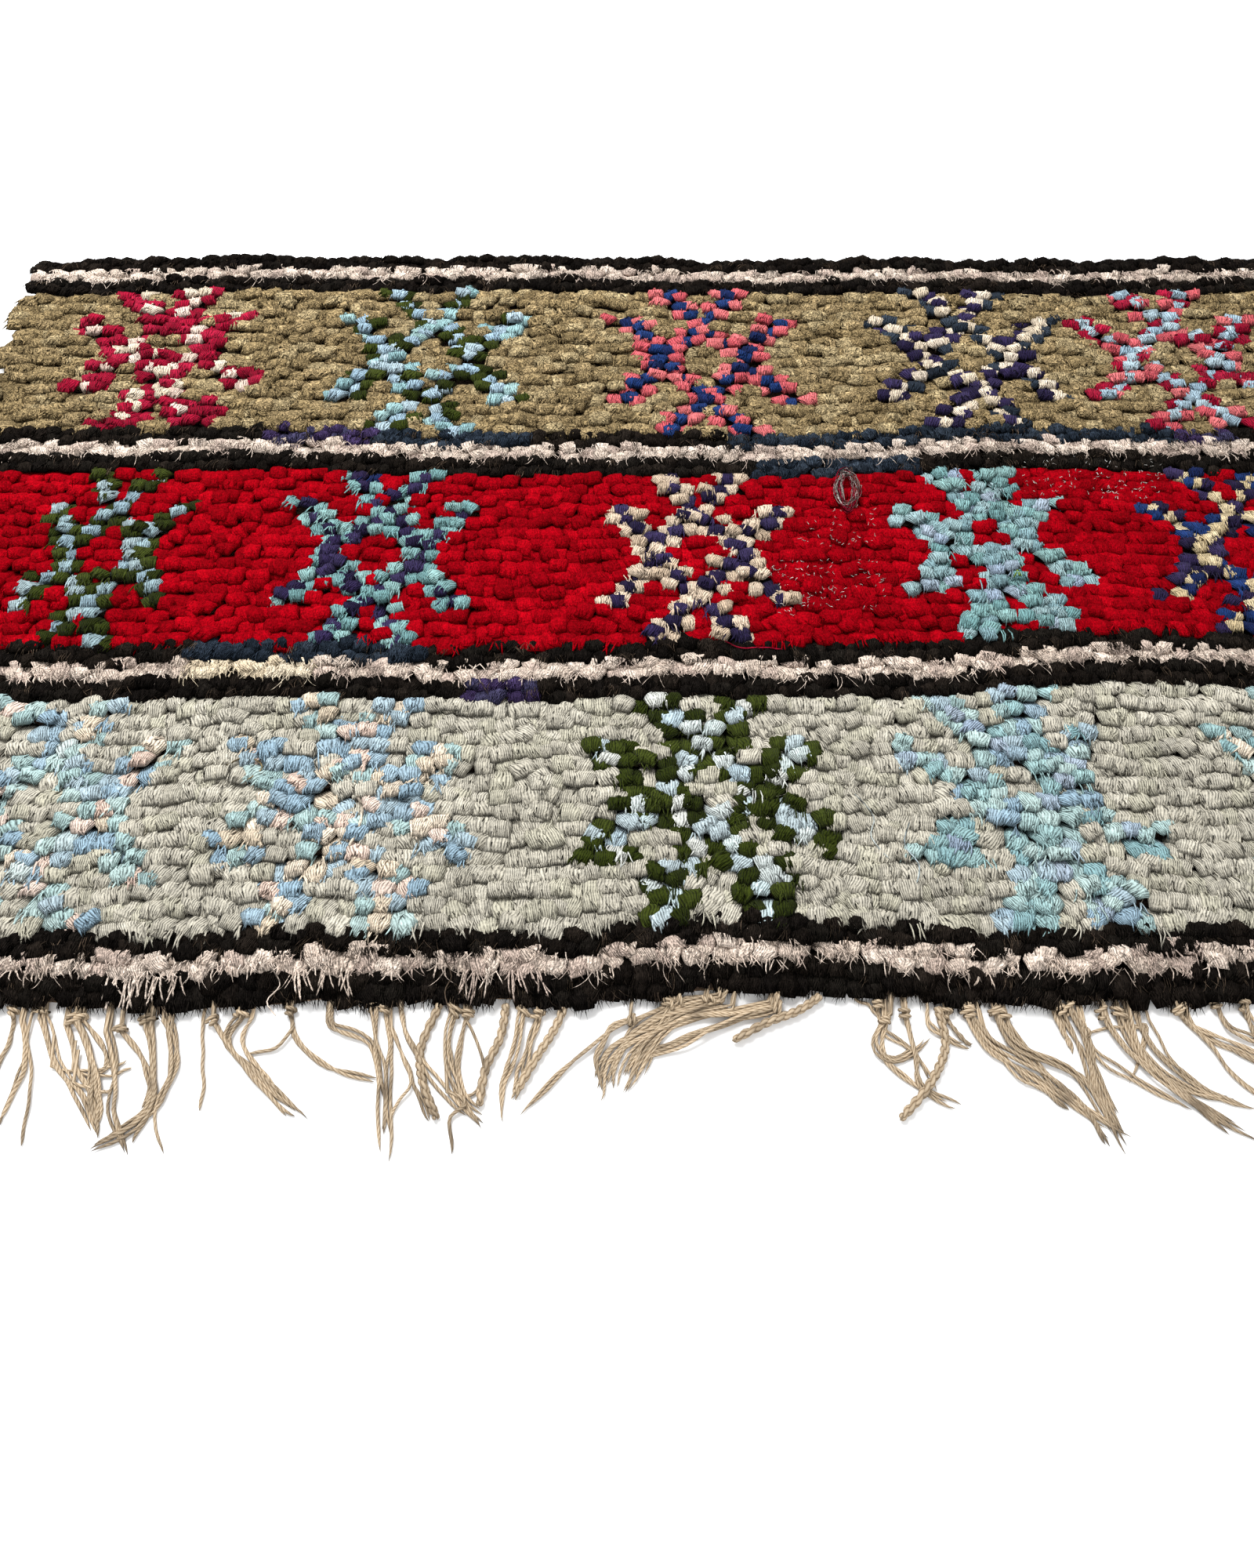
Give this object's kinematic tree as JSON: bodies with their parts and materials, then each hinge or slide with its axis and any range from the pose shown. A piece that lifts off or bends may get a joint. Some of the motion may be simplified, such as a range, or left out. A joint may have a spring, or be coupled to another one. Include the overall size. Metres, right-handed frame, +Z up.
{
  "type": "boucherouite rug",
  "caption": "Knotted pile rug in bands of sage grey, red and olive with star motifs, black and cream stripes, and a cotton fringe along its front edge.",
  "frame": {"origin": "middle of the rug's whole length and width, fringe included, on the floor", "axes": "+Z up from the floor, +Y from the fringed front edge to the far edge, +X along the fringe to the right"},
  "size_m": [1.2126, 0.8114, 0.0162],
  "materials": {
    "pile_wool": "matt knotted pile in several colours",
    "sage_pile": "matt plied yarn",
    "red_pile": "soft combed yarn",
    "olive_pile": "curly looped yarn",
    "black_pile": "fine matt yarn",
    "cream_pile": "frizzy combed yarn",
    "star_pile": "matt plied yarn in several colours",
    "ground_cotton": "matt flat weave",
    "warp_cotton": "matt plied cotton string"
  },
  "bodies": {
    "root": {"pile_cloth": "pile_wool", "warp_fringe": "warp_cotton"}
  },
  "joints": []
}
